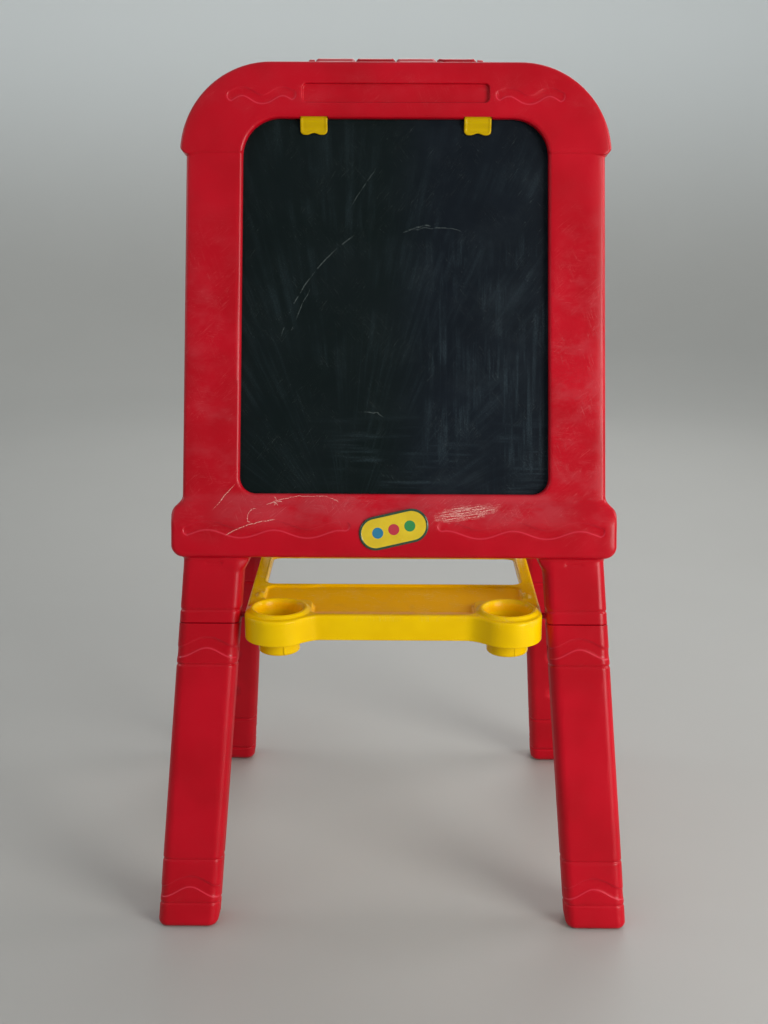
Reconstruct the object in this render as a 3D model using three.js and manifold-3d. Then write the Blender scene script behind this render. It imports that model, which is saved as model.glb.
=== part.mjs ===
// A free-standing double-sided children's easel in moulded plastic: two identical hollow frames hinged at
// the top into an A, a chalkboard in the front one, a dry-wipe board in the rear one, four plug-on lower
// legs, four paper clips and a tray with four cup pockets that sits on lugs between the legs.
//
// Millimetres. +Z is up, the front side faces -Y, +X is to the right, and the origin is on the floor at the
// middle. Each side is built in its own flat frame before it is leaned: x to the right, s down the side
// from the hinge axis and d out from the plane where the two folded sides meet, which in three.js axes is
// (x, -d, -s).

import * as THREE from 'three';
import { mergeVertices } from 'three/addons/utils/BufferGeometryUtils.js';
import Module from 'manifold-3d';

const wasm = await Module();
wasm.setup();

// Driving dimensions.
const GAP = 0.3; // left between pieces that touch
const HINGE_HEIGHT = 1084;
const LEAN = THREE.MathUtils.degToRad(12.1);
const WALL = 3; // moulded wall thickness

const FRAME = { back: 1.5, face: 48, round: 5 };
const HEADER = { halfWidth: 274.5, top: 2.5, radius: 116.5, lip: 6 };
const STILE = { halfWidthTop: 266, halfWidthBottom: 272.5, bottom: 559 };
const OPENING = {
  top: 74, bottom: 550.5, halfTop: 193.3, halfBottom: 198.8, radiusTop: 47, radiusBottom: 21,
};
const LEDGE = { top: 562, bottom: 632, halfWidth: 286, face: 58, corner: 16, round: 6 };
const RECESS = { halfWidth: 118, top: 31, bottom: 54.5, floor: 43, corner: 5 };

const LEG_SPLAY = THREE.MathUtils.degToRad(4.13);
const LEG = { top: 718.5, centreAtTop: 238.3, width: 78, face: 49, corner: 13 };
const STUB = { end: 717.9, gussetReach: 12, gussetDrop: 16 };
const TENON = { width: 71, back: 5, face: 45.5, corner: 9, start: 710, end: 790 };

const BOARD = { lap: 8.5, back: 32.7, face: 35.7, seat: 36, clearance: 0.5 };
const KNUCKLE = { radius: 11, relief: 12.2, pitch: 52, gap: 1.2, sides: 30 };
const KNUCKLE_WEB = { face: 26, back: 18, end: 14 };
const PIN = { radius: 3, bore: 3.5, boreHalf: 150, halfLength: 111 };
const PIN_CAP = { radius: 9.6, start: 104.8, end: 115, boreDepth: 6.6, chamfer: 3, relief: 1.2 };

const CLIP = { offset: 104, width: 35, pivotS: 69, pivotD: 42, barrel: 2.8, trunnion: 1.6, thickness: 2.2 };
const CLIP_BEND = { s: [76, 83, 89.5, 93], d: [42.2, 41, 37.5, 38.4] };
const CLIP_POCKET = {
  width: 36, top: 64, mouth: 6, back: 38.5, front: 45.8, trunnionBore: 2, trunnionDepth: 2.4,
};

const LUG = { s: 709, d: 24, radius: 4, tip: 184.6, root: 201.5 };
const BOARD_SCREW = { headRadius: 3.6, headHeight: 2.4, shankRadius: 1.5, length: 11.4, tip: 2 };
const BOARD_SCREW_FROM_EDGE = 4.5;
const BOARD_SCREW_ROWS = { top: 150, middle: 312, bottom: 474 };
const LEG_SCREW = { headRadius: 4.6, headHeight: 2.6, shankRadius: 1.9, length: 12, tip: 2 };
const LEG_SCREW_PLACE = { s: 752, d: 25.25 };
const BADGE = { s: 595, halfLength: 45, radius: 21.7, tilt: THREE.MathUtils.degToRad(13), thickness: 1.6 };

const TRAY = {
  rim: 404, deck: 400.1, bottom: 370, halfWidth: 192.5, sideHalf: 184, front: 200, podFront: 227,
  podCorner: 42, podInner: 132, podOuter: 97, podBack: 176.7,
};
const CUP = {
  x: 149, y: 177, rimLift: 4, rimRadius: 39, mouthRadius: 32, waistRadius: 30, waistZ: 372, shallowZ: 370,
  bossRadius: 27, bossZ: 349, round: 2,
};
const TRAY_HOLE = { halfWidth: 175, halfLength: 68, corner: 14, underside: 397 };
const TROUGH = {
  floor: 398, halfNarrow: 106, halfWide: 172, outer: 190, inner: 76, wideOuter: 136, corner: 10,
};

// Sizes of the blocks that cut things to length, larger than whatever they cut.
const REACH = { across: 900, through: 1200, overrun: 30, leg: 1180 };

// Materials.
const material = (color, roughness, metalness) => new THREE.MeshStandardMaterial({
  color, roughness, metalness,
});
const plastic = (colour, roughness) => material(colour, roughness, 0);
const steel = (colour) => material(colour, 0.3, 1);
const redPlastic = () => plastic(0xc01828, 0.35);
const yellowPlastic = () => plastic(0xe6c800, 0.3);
const chalkboardBlack = () => plastic(0x182022, 0.6);
const whiteboardWhite = () => plastic(0xf2f2ee, 0.2);
const zincSteel = () => steel(0xb8bcc0);

// Solids: three.js geometry in, joined and cut by manifold, geometry out.
function toSolid(geometry) {
  geometry.deleteAttribute('normal');
  geometry.deleteAttribute('uv');
  const merged = mergeVertices(geometry, 1e-3);
  return new wasm.Manifold(new wasm.Mesh({
    numProp: 3,
    vertProperties: Float32Array.from(merged.attributes.position.array),
    triVerts: Uint32Array.from(merged.index.array),
  }));
}

function toMesh(name, solid, material) {
  const { vertProperties, triVerts } = solid.getMesh();
  const geometry = new THREE.BufferGeometry();
  geometry.setAttribute('position', new THREE.BufferAttribute(vertProperties, 3));
  geometry.setIndex(new THREE.BufferAttribute(triVerts, 1));
  geometry.computeVertexNormals();
  const mesh = new THREE.Mesh(geometry, material);
  mesh.name = name;
  return mesh;
}

const join = (...solids) => solids.reduce((whole, solid) => whole.add(solid));
const cut = (whole, ...tools) => tools.reduce((rest, tool) => rest.subtract(tool), whole);

// Outlines.
function arc(centreX, centreY, radius, fromDegrees, toDegrees, steps) {
  return Array.from({ length: steps + 1 }, (_, i) => {
    const angle = THREE.MathUtils.degToRad(fromDegrees + ((toDegrees - fromDegrees) * i) / steps);
    return new THREE.Vector2(centreX + radius * Math.cos(angle), centreY + radius * Math.sin(angle));
  });
}

const point = (x, y) => new THREE.Vector2(x, y);

// Closes a run of points down the right-hand side with its mirror image on the left, anticlockwise.
function mirrored(right) {
  const left = right.map((p) => point(-p.x, p.y));
  return new THREE.Shape([...left, ...right.reverse()]);
}

function roundedRectangle(x0, y0, x1, y1, radius, steps = 4) {
  return new THREE.Shape([
    ...arc(x1 - radius, y0 + radius, radius, -90, 0, steps),
    ...arc(x1 - radius, y1 - radius, radius, 0, 90, steps),
    ...arc(x0 + radius, y1 - radius, radius, 90, 180, steps),
    ...arc(x0 + radius, y0 + radius, radius, 180, 270, steps),
  ]);
}

// A plate of outline (x, -s) between two depths d, with its edges rounded by the bevel.
function plate(shape, fromD, toD, bevel = 0) {
  const geometry = new THREE.ExtrudeGeometry(shape, {
    depth: toD - fromD - 2 * bevel, bevelEnabled: bevel > 0, bevelThickness: bevel, bevelSize: bevel,
    bevelOffset: -bevel, bevelSegments: 1, steps: 1,
  });
  geometry.translate(0, 0, fromD + bevel);
  geometry.rotateX(Math.PI / 2);
  return toSolid(geometry);
}

// A block of outline (x, y) between two heights.
function block(shape, fromZ, toZ) {
  const geometry = new THREE.ExtrudeGeometry(shape, { depth: toZ - fromZ, bevelEnabled: false, steps: 1 });
  geometry.translate(0, 0, fromZ);
  return toSolid(geometry);
}

// A round bar along x through (s, d).
function barAlongX(fromX, toX, s, d, radius, sides = 16) {
  const geometry = new THREE.CylinderGeometry(radius, radius, Math.abs(toX - fromX), sides);
  geometry.rotateZ(Math.PI / 2);
  geometry.translate((fromX + toX) / 2, -d, -s);
  return toSolid(geometry);
}

// A prism along x of an outline in (d, s).
function prismAlongX(outline, centreX, width) {
  const geometry = new THREE.ExtrudeGeometry(new THREE.Shape(outline), {
    depth: width, bevelEnabled: false, steps: 1,
  });
  geometry.translate(0, 0, -width / 2);
  geometry.rotateY(Math.PI / 2); // outline x runs along -z, the depth along x
  geometry.rotateX(Math.PI / 2); // outline x now runs along +y
  geometry.applyMatrix4(new THREE.Matrix4().makeScale(1, -1, -1)); // to -d and -s
  geometry.translate(centreX, 0, 0);
  return toSolid(geometry);
}

// One side's outlines, each with an inset for its hollow.
const stileHalf = (s) => THREE.MathUtils.mapLinear(
  s, HEADER.top + HEADER.radius, STILE.bottom, STILE.halfWidthTop, STILE.halfWidthBottom);
const legCentre = (s) => LEG.centreAtTop + Math.tan(LEG_SPLAY) * (s - LEG.top);
const legOuter = (s) => legCentre(s) + LEG.width / 2;
const legInner = (s) => legCentre(s) - LEG.width / 2;

function frameOutline(inset, stubEnd) {
  const shoulder = HEADER.top + HEADER.radius;
  const gusset = LEDGE.bottom + STUB.gussetDrop;
  return mirrored([
    ...arc(HEADER.halfWidth - HEADER.radius, -shoulder, HEADER.radius - inset, 90, 0, 8),
    point(stileHalf(shoulder + HEADER.lip) - inset, -shoulder - HEADER.lip),
    point(STILE.halfWidthBottom - inset, -STILE.bottom),
    point(legOuter(LEDGE.bottom) - inset, -LEDGE.bottom),
    point(legOuter(stubEnd) - inset, -stubEnd),
    point(legInner(stubEnd) + inset, -stubEnd),
    point(legInner(gusset) + inset, -gusset),
    point(legInner(LEDGE.bottom) - STUB.gussetReach + inset, -LEDGE.bottom + LEDGE.round + inset),
  ]);
}

function openingOutline(grow) {
  const top = -OPENING.top + grow;
  const bottom = -OPENING.bottom - grow;
  const radiusTop = OPENING.radiusTop + grow;
  const radiusBottom = OPENING.radiusBottom + grow;
  const halfTop = OPENING.halfTop + grow;
  const halfBottom = OPENING.halfBottom + grow;
  return mirrored([
    ...arc(halfTop - radiusTop, top - radiusTop, radiusTop, 90, 0, 5),
    ...arc(halfBottom - radiusBottom, bottom + radiusBottom, radiusBottom, 0, -90, 3),
  ]);
}

// The whole section of a leg or its tenon between two distances down the side. The leg splays outward.
function legLength(sign, width, back, face, corner, fromS, toS) {
  const section = roundedRectangle(-width / 2, -face, width / 2, -back, corner, 4);
  const geometry = new THREE.ExtrudeGeometry(section, {
    depth: toS - fromS + 2 * REACH.overrun, bevelEnabled: false, steps: 1,
  });
  geometry.translate(0, 0, LEG.top - toS - REACH.overrun);
  geometry.rotateY(-sign * LEG_SPLAY);
  geometry.translate(sign * LEG.centreAtTop, 0, -LEG.top);
  const slab = new THREE.BoxGeometry(REACH.across, REACH.across, toS - fromS);
  slab.translate(0, 0, -(fromS + toS) / 2);
  return toSolid(geometry).intersect(toSolid(slab));
}

// Everything under a given height above the floor, seen from the leaned side's own frame.
function belowFloorLevel(height) {
  const slab = new THREE.BoxGeometry(REACH.across, REACH.through, REACH.across);
  slab.translate(0, 0, height - REACH.across / 2);
  slab.applyMatrix4(sidePlacement().invert());
  return toSolid(slab);
}

function sidePlacement() {
  return new THREE.Matrix4().makeRotationX(-LEAN).setPosition(0, 0, HINGE_HEIGHT);
}

function ledgeOutline(inset) {
  return roundedRectangle(
    -LEDGE.halfWidth + inset, -LEDGE.bottom + inset, LEDGE.halfWidth - inset, -LEDGE.top - inset,
    LEDGE.corner - inset, 4);
}

// A tenon that goes down into a lower leg, or with an inset its hollow.
function tenon(sign, inset, fromS, toS) {
  return legLength(
    sign, TENON.width - 2 * inset, TENON.back + inset, TENON.face - inset, TENON.corner - inset, fromS, toS);
}

// A hinge knuckle with the web that runs from it down to the header.
function knuckle(x) {
  const width = KNUCKLE.pitch - KNUCKLE.gap;
  const web = [
    point(1, 0.5 - KNUCKLE.radius), point(KNUCKLE_WEB.face, HEADER.top + 1),
    point(KNUCKLE_WEB.back, KNUCKLE_WEB.end), point(FRAME.back + 1, KNUCKLE_WEB.end),
  ];
  return join(
    barAlongX(x - width / 2, x + width / 2, 0, 0, KNUCKLE.radius, KNUCKLE.sides),
    prismAlongX(web, x, width),
  );
}

// The hollow frame: header, stiles, ledge, leg stubs with their tenons, tray lugs and two hinge knuckles.
function frameSolid() {
  const knuckleX = [-1.5 * KNUCKLE.pitch, 0.5 * KNUCKLE.pitch];
  const reliefX = knuckleX.map((x) => -x);

  const outline = frameOutline(0, STUB.end);
  outline.holes.push(openingOutline(0));
  const outside = join(
    plate(outline, FRAME.back, FRAME.face, FRAME.round),
    plate(ledgeOutline(0), FRAME.back, LEDGE.face, LEDGE.round),
    ...[-1, 1].map((sign) => tenon(sign, 0, TENON.start, TENON.end)),
    ...[-1, 1].map((sign) => barAlongX(sign * LUG.tip, sign * LUG.root, LUG.s, LUG.d, LUG.radius, 12)),
  );

  // The hollow leaves solid lands round the board opening, header recess, clip pockets and hinge.
  const land = BOARD.lap + BOARD.clearance + WALL;
  const hollowOutline = frameOutline(WALL, STUB.end - WALL);
  hollowOutline.holes.push(openingOutline(land));
  const hollow = cut(
    join(
      plate(hollowOutline, FRAME.back + WALL, FRAME.face - WALL, FRAME.round - WALL / 2),
      plate(ledgeOutline(WALL), FRAME.back + WALL, LEDGE.face - WALL, LEDGE.round - WALL / 2),
    ),
    plate(recessOutline(WALL), RECESS.floor - WALL, FRAME.face),
    barAlongX(-3 * KNUCKLE.pitch, 3 * KNUCKLE.pitch, 0, 0, KNUCKLE.relief + WALL, 14),
  );
  const tenonHollows = [-1, 1].map((sign) => tenon(sign, WALL, TENON.start - WALL, TENON.end + WALL));
  const knuckleRelief = (x) => barAlongX(
    x - KNUCKLE.pitch / 2, x + KNUCKLE.pitch / 2, 0, 0, KNUCKLE.relief, KNUCKLE.sides);
  const capRelief = (sign) => barAlongX(
    sign * (PIN_CAP.start - PIN_CAP.relief), sign * (PIN_CAP.end + PIN_CAP.relief), 0, 0,
    PIN_CAP.radius + PIN_CAP.relief, 14);

  const shell = cut(
    outside, hollow, ...tenonHollows, ...reliefX.map(knuckleRelief), ...[-1, 1].map(capRelief));
  return cut(
    join(shell, ...knuckleX.map(knuckle)),
    barAlongX(-PIN.boreHalf, PIN.boreHalf, 0, 0, PIN.bore, 12),
    plate(openingOutline(BOARD.lap + BOARD.clearance), 0, BOARD.seat),
    plate(recessOutline(0), RECESS.floor, FRAME.face + WALL),
    ...[-1, 1].map(clipPocket),
    ...boardScrewPlaces().map(([x, s]) => boardScrewHole(x, s)),
    ...[-1, 1].map((sign) => legScrewHole(sign, LEG_SCREW.shankRadius)),
  );
}

function recessOutline(grow) {
  return roundedRectangle(
    -RECESS.halfWidth - grow, -RECESS.bottom - grow, RECESS.halfWidth + grow, -RECESS.top + grow,
    RECESS.corner + grow, 3);
}

function clipPocket(sign) {
  const centre = sign * CLIP.offset;
  const half = CLIP_POCKET.width / 2;
  const mouth = OPENING.top + CLIP_POCKET.mouth;
  const outline = roundedRectangle(centre - half, -mouth, centre + half, -CLIP_POCKET.top, 1, 1);
  const pocket = plate(outline, CLIP_POCKET.back, CLIP_POCKET.front);
  const reach = half + CLIP_POCKET.trunnionDepth;
  return join(pocket, barAlongX(
    centre - reach, centre + reach, CLIP.pivotS, CLIP.pivotD, CLIP_POCKET.trunnionBore, 8));
}

// The lower leg: a hollow moulding, open at its top where it sleeves over the tenon, with a flat sole.
function lowerLeg(sign) {
  const length = (inset, fromS) => legLength(
    sign, LEG.width - 2 * inset, FRAME.back + inset, LEG.face - inset, LEG.corner - inset, fromS, REACH.leg);
  const outside = cut(length(0, LEG.top), belowFloorLevel(0));
  const inside = cut(length(WALL, LEG.top - WALL), belowFloorLevel(WALL));
  return cut(outside, inside, legScrewHole(sign, LEG_SCREW.headRadius));
}

// A board: a flat panel behind the lip of the frame's opening.
function boardSolid() {
  const panel = plate(openingOutline(BOARD.lap), BOARD.back, BOARD.face);
  return cut(panel, ...boardScrewPlaces().map(([x, s]) => boardScrewHole(x, s)));
}

function boardScrewPlaces() {
  const halfAt = (s) => THREE.MathUtils.mapLinear(
    s, OPENING.top, OPENING.bottom, OPENING.halfTop, OPENING.halfBottom) + BOARD_SCREW_FROM_EDGE;
  return [-1, 1].flatMap((sign) => Object.values(BOARD_SCREW_ROWS).map((s) => [sign * halfAt(s), s]));
}

// A pan-head screw pointing out along +d from a seat: its head lies on the near side of the seat.
function screwProfile({ headRadius, headHeight, shankRadius, length, tip }) {
  return [
    point(0, -headHeight), point(headRadius * 0.75, -headHeight), point(headRadius, -headHeight * 0.5),
    point(headRadius, 0), point(shankRadius, 0), point(shankRadius, length - tip), point(0, length),
  ];
}

function boardScrew(x, s) {
  const geometry = new THREE.LatheGeometry(screwProfile(BOARD_SCREW), 8);
  geometry.rotateX(Math.PI);
  geometry.translate(x, -BOARD.back + GAP, -s);
  return toSolid(geometry);
}

// Runs on past the screw's tip by its head radius, and opens through the seat under its head.
function boardScrewHole(x, s) {
  const { shankRadius, headRadius, length, tip } = BOARD_SCREW;
  const radius = shankRadius + 2 * GAP;
  const geometry = new THREE.CylinderGeometry(radius, radius, length + headRadius + tip, 8);
  geometry.translate(x, -BOARD.back - (length - tip) / 2, -s);
  return toSolid(geometry);
}

// The leg screws go in from the sides that look at each other across the easel. Each seats on the tenon and
// its head fills a hole in the leg, flush with it, so the leg can't slide off.
function placeOnLeg(geometry, sign) {
  geometry.rotateY(-sign * LEG_SPLAY);
  const { s, d } = LEG_SCREW_PLACE;
  const halfWidth = TENON.width / 2 / Math.cos(LEG_SPLAY);
  geometry.translate(sign * (legCentre(s) - halfWidth), -d, -s);
  return geometry;
}

function legScrew(sign) {
  const geometry = new THREE.LatheGeometry(screwProfile(LEG_SCREW), 10);
  geometry.rotateZ(-sign * Math.PI / 2);
  geometry.translate(-sign * GAP, 0, 0);
  return toSolid(placeOnLeg(geometry, sign));
}

function legScrewHole(sign, screwRadius) {
  const radius = screwRadius + 2 * GAP;
  const geometry = new THREE.CylinderGeometry(radius, radius, 2 * LEG_SCREW.length, 10);
  geometry.rotateZ(Math.PI / 2);
  return toSolid(placeOnLeg(geometry, sign));
}

// A paper clip: a curved tab that presses on the board, on a barrel with two trunnions in the header.
function clipSolid(sign) {
  const centre = sign * CLIP.offset;
  const middle = new THREE.SplineCurve([
    point(CLIP.pivotD, CLIP.pivotS), ...CLIP_BEND.s.map((s, i) => point(CLIP_BEND.d[i], s)),
  ]);
  const steps = 9;
  const side = (offset) => Array.from({ length: steps + 1 }, (_, i) => {
    const along = middle.getTangent(i / steps);
    return middle.getPoint(i / steps).add(point(-along.y, along.x).multiplyScalar(offset));
  });
  const half = CLIP.thickness / 2;
  const tab = prismAlongX([...side(half), ...side(-half).reverse()], centre, CLIP.width);
  const reach = CLIP.width / 2 + CLIP_POCKET.trunnionDepth;
  return join(
    tab,
    barAlongX(centre - CLIP.width / 2, centre + CLIP.width / 2, CLIP.pivotS, CLIP.pivotD, CLIP.barrel, 10),
    barAlongX(centre - reach, centre + reach, CLIP.pivotS, CLIP.pivotD, CLIP.trunnion, 8),
  );
}

// One complete side, front or rear. The rear one is turned half round, so its +x pieces are on the left.
function side(label, board, boardMaterial) {
  const turned = label === 'rear';
  const hand = (sign) => ((sign > 0) !== turned ? 'right' : 'left');
  const group = new THREE.Group();
  group.add(toMesh(`${label}_frame`, frameSolid(), redPlastic()));
  group.add(toMesh(board, boardSolid(), boardMaterial));
  for (const sign of [-1, 1]) {
    group.add(toMesh(`${label}_${hand(sign)}_lower_leg`, lowerLeg(sign), redPlastic()));
    group.add(toMesh(`${label}_${hand(sign)}_leg_screw`, legScrew(sign), zincSteel()));
    group.add(toMesh(`${label}_${hand(sign)}_paper_clip`, clipSolid(sign), yellowPlastic()));
  }
  const rows = Object.keys(BOARD_SCREW_ROWS);
  boardScrewPlaces().forEach(([x, s], i) => {
    const row = rows[i % rows.length];
    group.add(toMesh(`${label}_board_screw_${hand(x)}_${row}`, boardScrew(x, s), zincSteel()));
  });
  group.applyMatrix4(sidePlacement());

  const facing = new THREE.Group();
  facing.add(group);
  facing.rotation.z = turned ? Math.PI : 0;
  return { facing, group };
}

// The hinge pin and its two push-on caps.
function hingePin() {
  return barAlongX(-PIN.halfLength, PIN.halfLength, 0, 0, PIN.radius, 12);
}

function hingeCap(sign) {
  const { radius, start, end, boreDepth, chamfer } = PIN_CAP;
  const geometry = new THREE.LatheGeometry([
    point(0, end), point(radius - chamfer, end), point(radius, end - chamfer), point(radius, start),
    point(PIN.bore, start), point(PIN.bore, start + boreDepth), point(0, start + boreDepth),
  ].reverse(), 14);
  geometry.rotateZ(-sign * Math.PI / 2);
  return toSolid(geometry);
}

// The label plate on the front ledge, a plain stadium turned a little.
function badgeSolid() {
  const { s, halfLength, radius, tilt, thickness } = BADGE;
  const end = halfLength - radius;
  const stadium = [...arc(end, 0, radius, -90, 90, 12), ...arc(-end, 0, radius, 90, 270, 12)];
  const turned = stadium.map((p) => p.rotateAround(point(0, 0), tilt).add(point(0, -s)));
  return plate(new THREE.Shape(turned), LEDGE.face + GAP, LEDGE.face + GAP + thickness);
}

// The tray: a skirted deck with a pod round each cup pocket, two troughs and a hole in its middle.
function trayOutline(inset, sideHalf) {
  const { halfWidth, front, podFront, podCorner, podInner, podOuter, podBack } = TRAY;
  const cornerX = halfWidth - podCorner;
  const cornerY = podFront - podCorner;
  const swellSteps = 4;
  const swell = Array.from({ length: swellSteps + 1 }, (_, i) => {
    const rise = (1 - Math.cos((Math.PI * i) / swellSteps)) / 2;
    const x = podOuter + ((podInner - podOuter) * i) / swellSteps;
    return point(x, -front + inset - (podFront - front) * rise);
  });
  const quarter = [
    ...swell,
    ...arc(cornerX, -cornerY, podCorner - inset, -90, 0, 4),
    point(halfWidth - inset, -podBack - inset),
    point(sideHalf - inset, -podBack - inset),
  ];
  const half = [...quarter, ...quarter.map((p) => point(p.x, -p.y)).reverse()];
  return new THREE.Shape([...half, ...half.map((p) => point(-p.x, p.y)).reverse()]);
}

// The outside of a cup pocket, or the room inside it. The front pockets are deep, with a boss underneath.
function cupProfile(wall, deep) {
  const { rimRadius, mouthRadius, waistRadius, waistZ, shallowZ, bossRadius, bossZ, round, rimLift } = CUP;
  const top = TRAY.rim + rimLift;
  const thick = wall ? 0 : WALL;
  const foot = (radius, z) => [point(0, z), point(radius - round, z), point(radius, z + round)];
  const bottom = deep
    ? [...foot(bossRadius - thick, bossZ + thick), point(bossRadius - thick, waistZ - WALL + thick)]
    : [point(0, shallowZ + thick), point(waistRadius - round - thick, shallowZ + thick)];
  const mouth = wall
    ? [point(mouthRadius, TRAY.deck), point(rimRadius, TRAY.deck + 1), point(rimRadius, top - 1),
      point(rimRadius - 1, top), point(0, top)]
    : [point(mouthRadius, top), point(mouthRadius, top + 1), point(0, top + 1)];
  return [...bottom, point(waistRadius - thick, waistZ + round + thick), ...mouth];
}

function cupSolid(signX, signY, wall) {
  const geometry = new THREE.LatheGeometry(cupProfile(wall, signY < 0), 20);
  geometry.rotateX(Math.PI / 2);
  geometry.translate(signX * CUP.x, signY * CUP.y, 0);
  return toSolid(geometry);
}

function troughSolid(sign, grow, fromZ, toZ) {
  const { halfNarrow, halfWide, outer, inner, wideOuter, corner } = TROUGH;
  const rectangle = (half, far) => {
    const near = sign > 0 ? inner - grow : -far - grow;
    const distant = sign > 0 ? far + grow : -inner + grow;
    return block(roundedRectangle(-half - grow, near, half + grow, distant, corner + grow, 2), fromZ, toZ);
  };
  return join(rectangle(halfNarrow, outer), rectangle(halfWide, wideOuter));
}

function traySolid() {
  const corners = [[-1, -1], [1, -1], [1, 1], [-1, 1]];
  const { rim, deck, bottom } = TRAY;
  const holeShape = (grow) => roundedRectangle(
    -TRAY_HOLE.halfWidth - grow, -TRAY_HOLE.halfLength - grow,
    TRAY_HOLE.halfWidth + grow, TRAY_HOLE.halfLength + grow, TRAY_HOLE.corner + grow, 3);
  const skirtedDeck = cut(
    join(
      block(trayOutline(0, TRAY.sideHalf), bottom, deck + 1),
      block(trayOutline(0, TRAY.halfWidth), deck, rim),
    ),
    block(trayOutline(WALL, TRAY.sideHalf), bottom - 1, deck),
  );
  const walls = join(
    skirtedDeck,
    block(holeShape(WALL), TRAY_HOLE.underside, rim),
    ...[-1, 1].map((sign) => troughSolid(sign, WALL, TROUGH.floor - WALL, rim - 1)),
    ...corners.map(([x, y]) => cupSolid(x, y, true)),
  );
  return cut(
    walls,
    block(holeShape(0), bottom - 1, rim + 1),
    ...[-1, 1].map((sign) => troughSolid(sign, 0, TROUGH.floor, rim + 1)),
    ...corners.map(([x, y]) => cupSolid(x, y, false)),
  );
}

// Assembly.
const group = new THREE.Group();
const front = side('front', 'chalkboard', chalkboardBlack());
const rear = side('rear', 'dry_wipe_board', whiteboardWhite());
front.group.add(toMesh('badge', badgeSolid(), yellowPlastic()));
front.group.add(toMesh('hinge_pin', hingePin(), zincSteel()));
front.group.add(toMesh('hinge_cap_left', hingeCap(-1), redPlastic()));
front.group.add(toMesh('hinge_cap_right', hingeCap(1), redPlastic()));
group.add(front.facing, rear.facing);
group.add(toMesh('tray', traySolid(), yellowPlastic()));

export default group;
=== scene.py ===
"""The looks of a double-sided children's easel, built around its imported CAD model.

The pieces are modelled as distance fields, in millimetres: rounded slabs and bars that are joined, cut and
filleted, then meshed and pulled onto the field's surface. The boards are the CAD's own meshes with detailed
materials. The two sides are one moulding turned half round, so each shape is meshed once.

Each side has coordinates of its own: x to the viewer's right, s down the side from the hinge axis, and d
outward from the plane where the two folded sides meet.
"""

import math

import bpy
import numpy as np
import openvdb
from mathutils import Matrix, Vector


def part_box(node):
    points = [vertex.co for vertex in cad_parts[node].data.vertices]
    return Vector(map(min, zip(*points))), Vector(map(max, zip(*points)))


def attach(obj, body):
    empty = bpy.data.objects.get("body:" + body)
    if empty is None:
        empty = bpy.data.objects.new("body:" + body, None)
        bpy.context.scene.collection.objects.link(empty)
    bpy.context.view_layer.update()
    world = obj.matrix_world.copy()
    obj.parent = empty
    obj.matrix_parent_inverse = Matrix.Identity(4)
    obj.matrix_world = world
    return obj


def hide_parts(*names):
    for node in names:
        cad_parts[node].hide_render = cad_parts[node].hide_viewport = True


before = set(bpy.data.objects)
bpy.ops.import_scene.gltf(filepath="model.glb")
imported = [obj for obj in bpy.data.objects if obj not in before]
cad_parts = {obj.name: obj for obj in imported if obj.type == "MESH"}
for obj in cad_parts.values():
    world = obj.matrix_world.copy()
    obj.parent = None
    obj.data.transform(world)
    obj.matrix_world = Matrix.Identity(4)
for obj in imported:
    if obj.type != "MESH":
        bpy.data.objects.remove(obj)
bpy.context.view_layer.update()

# The side's placement.
HINGE_HEIGHT = 1084.0
LEAN = math.radians(12.1)
MM = 0.001

# The frame moulding.
BACK = 1.5
FACE = 48.0
STILE_FACE = 46.2
ROLL = 5.0  # radius of the moulding's outer edges
CROWN, CROWN_WIDTH = 2.2, 17.0  # the faces fall away gently towards those edges
HEADER_HALF = 274.2
HEADER_TOP = 2.7
SHOULDER = 116.3
EAR_BOTTOM, EAR_DROP, EAR_CHAMFER = 117.0, 3.0, 8.0
STILE_TOP, STILE_BOTTOM = 119.0, 559.0
STILE_HALF_TOP, STILE_HALF_BOTTOM = 265.8, 272.3
OPENING_TOP, OPENING_BOTTOM = 74.0, 550.5
OPENING_HALF_TOP, OPENING_HALF_BOTTOM = 193.3, 198.8
OPENING_RADIUS_TOP, OPENING_RADIUS_BOTTOM = 47.0, 21.0
LIP = 5.0
BOARD_SEAT, BOARD_LAP = 36.0, 9.0
RECESS_HALF, RECESS_TOP, RECESS_BOTTOM, RECESS_FLOOR = 118.0, 31.0, 54.5, 43.0
LEDGE_TOP, LEDGE_BOTTOM, LEDGE_HALF, LEDGE_FACE = 562.0, 632.0, 285.8, 58.0
LEDGE_CORNER, LEDGE_FILLET = 16.0, 9.0
SLOPE_START, SLOPE_END = 550.0, 592.0  # down the ledge, where its face slopes out from the stiles' face

# The legs.
SPLAY = math.radians(4.13)
LEG_TOP = 718.5
LEG_CENTRE_AT_TOP = 238.3
STUB_HALF, STUB_END, STUB_CORNER = 38.8, 717.9, 12.0
TENON_HALF, TENON_BACK, TENON_FACE, TENON_END, TENON_CORNER = 35.5, 5.0, 45.5, 790.0, 9.0
LEG_HALF, LEG_FACE, LEG_CORNER, SOLE_ROUND = 39.0, 49.0, 13.0, 9.0
SOCKET_GAP = 0.5
SCREW_HOLE_S, SCREW_HOLE_D, SCREW_HOLE_RADIUS = 752.0, 25.25, 5.2
LUG_S, LUG_D, LUG_RADIUS, LUG_TIP, LUG_ROOT = 709.0, 24.0, 4.0, 184.6, 203.0
STUB_GROOVE, LEG_GROOVE, LEG_BAND, SOLE_BAND, GROOVE_WIDTH = 701, 772, 1028, 1086, 1.5
GUSSET = ((204, 618), (17, 28), 14)  # a rectangle's centre, half size and corner
STUB_MARK = ((231.5, 640), (12, 2.4), 2.4)

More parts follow.
